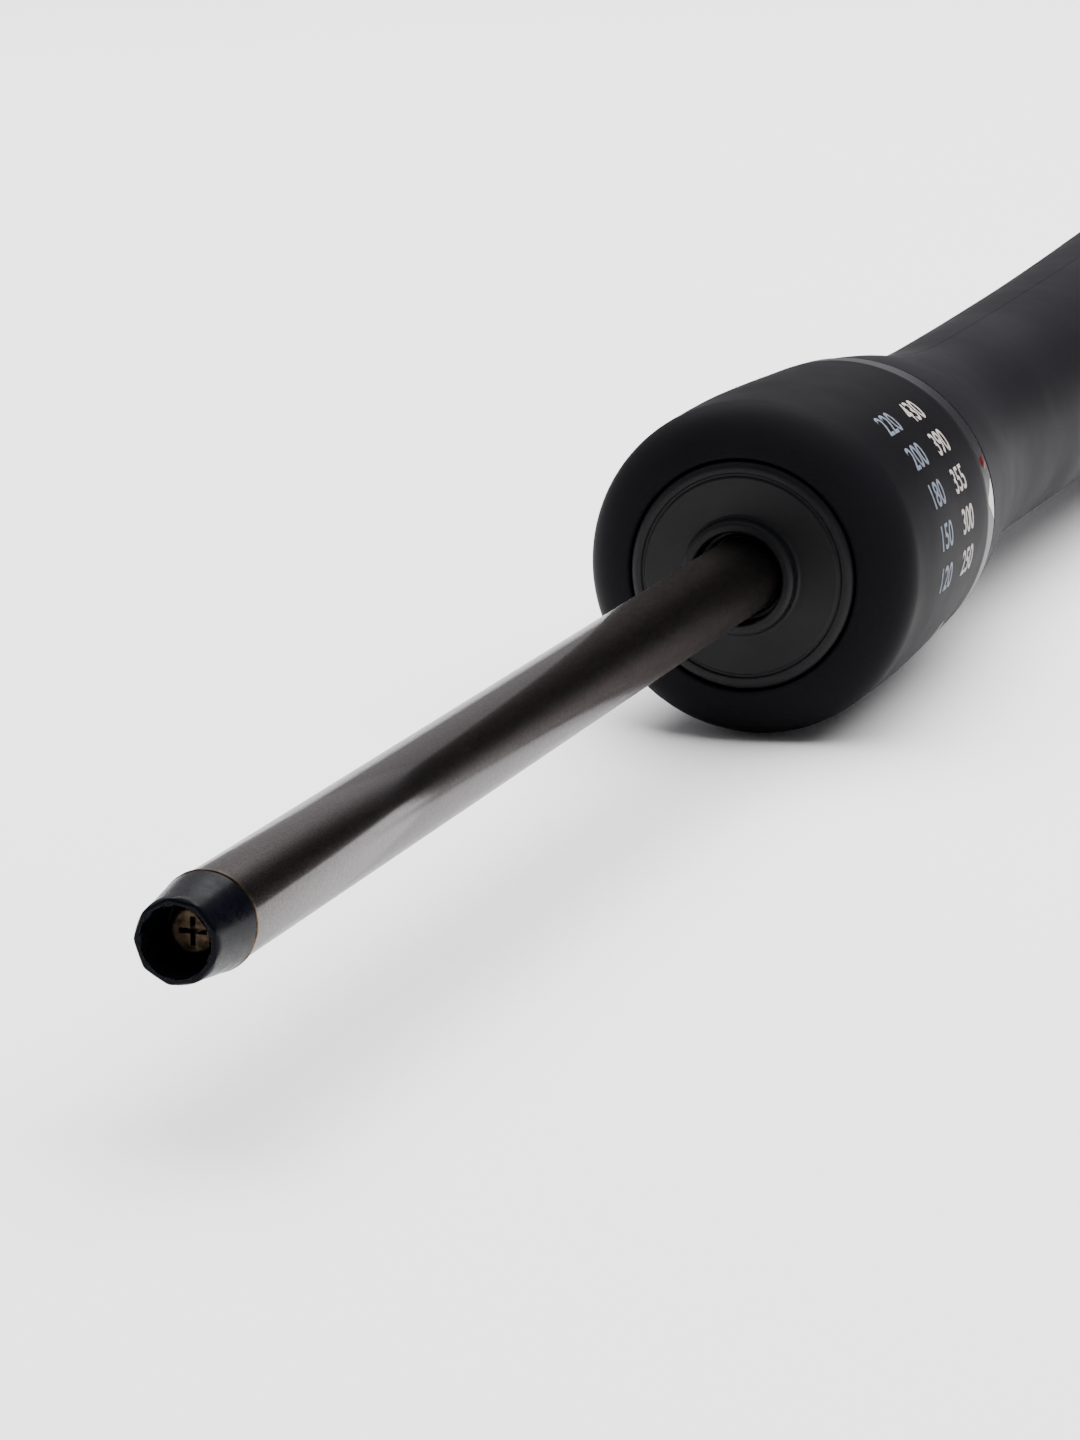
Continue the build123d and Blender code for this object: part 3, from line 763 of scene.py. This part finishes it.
for edge in edges.edges:
    if len(edge.link_faces) == 2 and edge.calc_face_angle(0) > radians(35):
        edge.smooth = False
edges.to_mesh(right.data)
edges.free()

flange_back_x = gland_front_x - 3.5
skirt_radius = 13.1              # the part of the cap that sits inside the shells
flange_room = 8.35
stem_room = 5.6
cap_seam = 0.12
stem_radius = 5.5
cord_bore_depth = 20.0
cord_bore = 3.2
contact_hole = 1.0               # runs on from the cord's bore to the contact pin
end_outline = rounded(
    [
        (end_front_x, flange_room, 0),
        (end_front_x, skirt_radius, 0),
        (handle_back_x - cap_seam, skirt_radius, 0),
        (handle_back_x - cap_seam, end_radius, 0.3),
        (end_back_x, end_radius, 6.9),
        (end_back_x, 6.8, 0.5),
        (end_back_x + 0.9, stem_room, 0.2),
        (flange_back_x - 0.3, stem_room, 0),
        (flange_back_x - 0.3, flange_room, 0),
    ],
    steps=14,
)
end = new_object("handle_end", turned(end_outline, AROUND_LARGE), handle_grey, "handle")
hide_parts("end_cap")

gland_corners = [
    (gland_front_x, contact_hole, 0),
    (gland_front_x, gland_flange_radius, 0.3),
    (flange_back_x, gland_flange_radius, 0.3),
    (flange_back_x, stem_radius, 0),
    (gland_back_x + 12.4, stem_radius, 0.2),
]
cord_floor_x = gland_back_x + cord_bore_depth
groove_count = 3
groove_depth = 0.75
for groove in range(groove_count):
    groove_x = gland_back_x + 9.4 - groove * 3.2
    rim = 5.45 - 0.2 * groove
    gland_corners += [
        (groove_x + 0.7, rim, 0.2),
        (groove_x + 0.5, rim - groove_depth, 0.2),
        (groove_x - 0.5, rim - groove_depth, 0.2),
        (groove_x - 0.7, rim, 0.2),
    ]
gland_corners += [
    (gland_back_x, 4.8, 0.4),
    (gland_back_x, cord_bore, 0.4),
    (cord_floor_x, cord_bore, 0),
    (cord_floor_x, contact_hole, 0),
]
gland_mesh = turned(rounded(gland_corners), AROUND_SMALL)
gland = new_object("cord_outlet_stem", gland_mesh, plate_black, "cord_outlet")
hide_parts("swivel_gland")

# ---- stage, light and camera --------------------------------------------------------------------
floor_z = cad_low[2]
bpy.ops.mesh.primitive_plane_add(size=24.0, location=(0, 0, floor_z - 0.0002))
floor = bpy.context.object
floor.name = "studio_floor"
floor_paint = Shader("studio_floor", Roughness=0.9, Specular_IOR_Level=0.1)
floor_paint.colour(floor_paint.noise(3, 2), (0.86, 0.86, 0.865), (0.88, 0.88, 0.885))
floor.data.materials.append(floor_paint.material)


def softbox(name, location, target, width, height, power):
    """A soft rectangular lamp at a place, turned to a target."""
    lamp = bpy.data.lights.new(name, "AREA")
    lamp.shape = "RECTANGLE"
    lamp.size, lamp.size_y = width, height
    lamp.energy = power
    holder = bpy.data.objects.new(name, lamp)
    bpy.context.scene.collection.objects.link(holder)
    holder.location = location
    holder.rotation_euler = (Vector(target) - Vector(location)).to_track_quat("-Z", "Y").to_euler()
    return holder


# The key light whitens the floor without mirroring in the gloss, which only shows the room.
key = softbox("key_overhead", (-0.3, 0.2, 1.6), (-0.1, 0, 0), 2.6, 2.4, 140)
key.visible_glossy = False
softbox("rear_high", (-1.1, -0.35, 1.4), (0.05, 0, 0), 1.6, 0.9, 20)

# A white room with two dark places: one beyond the handle, which the barrel mirrors as its dark
# stripe, and a wide, fainter one behind the camera, which keeps the faces turned to it dark.
world = bpy.data.worlds.new("studio")
bpy.context.scene.world = world
world.use_nodes = True
world_nodes, world_links = world.node_tree.nodes, world.node_tree.links
background = world_nodes["Background"]
background.inputs["Strength"].default_value = 0.62
sky = world_nodes.new("ShaderNodeTexCoord").outputs["Generated"]


def dark_place(direction, start, stop, depth):
    """Brightness factor that falls to depth as the direction gets close to the given one."""
    facing = world_nodes.new("ShaderNodeVectorMath")
    facing.operation = "DOT_PRODUCT"
    facing.inputs[1].default_value = Vector(direction).normalized()
    world_links.new(sky, facing.inputs[0])
    fade = world_nodes.new("ShaderNodeMapRange")
    fade.interpolation_type = "SMOOTHSTEP"
    fade.inputs["From Min"].default_value = start
    fade.inputs["From Max"].default_value = stop
    fade.inputs["To Min"].default_value = 1.0
    fade.inputs["To Max"].default_value = depth
    world_links.new(facing.outputs["Value"], fade.inputs["Value"])
    return fade.outputs["Result"]


both = world_nodes.new("ShaderNodeMath")
both.operation = "MULTIPLY"
world_links.new(dark_place((-0.88, 0.45, 0.12), 0.80, 0.965, 0.02), both.inputs[0])
world_links.new(dark_place((0.93, 0.30, 0.20), 0.1, 0.8, 0.3), both.inputs[1])
tint = world_nodes.new("ShaderNodeValToRGB")
tint.color_ramp.elements[0].color = (0, 0, 0, 1)
tint.color_ramp.elements[1].color = (1.0, 0.965, 1.01, 1)
world_links.new(both.outputs["Value"], tint.inputs["Fac"])
world_links.new(tint.outputs["Color"], background.inputs["Color"])

# The camera stands close to the tip and looks along the barrel, a little to the side of the mouth.
azimuth, elevation = radians(108.2), radians(12.45)
camera_back, camera_side, camera_up = 0.4633, 0.0313, 0.0191   # metres from the mouth
back = Vector((sin(azimuth) * cos(elevation), -cos(azimuth) * cos(elevation), sin(elevation)))
side = Vector((cos(azimuth), sin(azimuth), 0))
up = back.cross(side)
camera_data = bpy.data.cameras.new("camera")
camera_data.lens = 135
camera_data.sensor_width = 36
camera = bpy.data.objects.new("camera", camera_data)
bpy.context.scene.collection.objects.link(camera)
mouth = Vector((mouth_x * MM, 0, 0))
camera.location = mouth + back * camera_back + side * camera_side + up * camera_up
camera.rotation_euler = (-back).to_track_quat("-Z", "Y").to_euler()
camera_data.clip_start = 0.01
bpy.context.scene.camera = camera
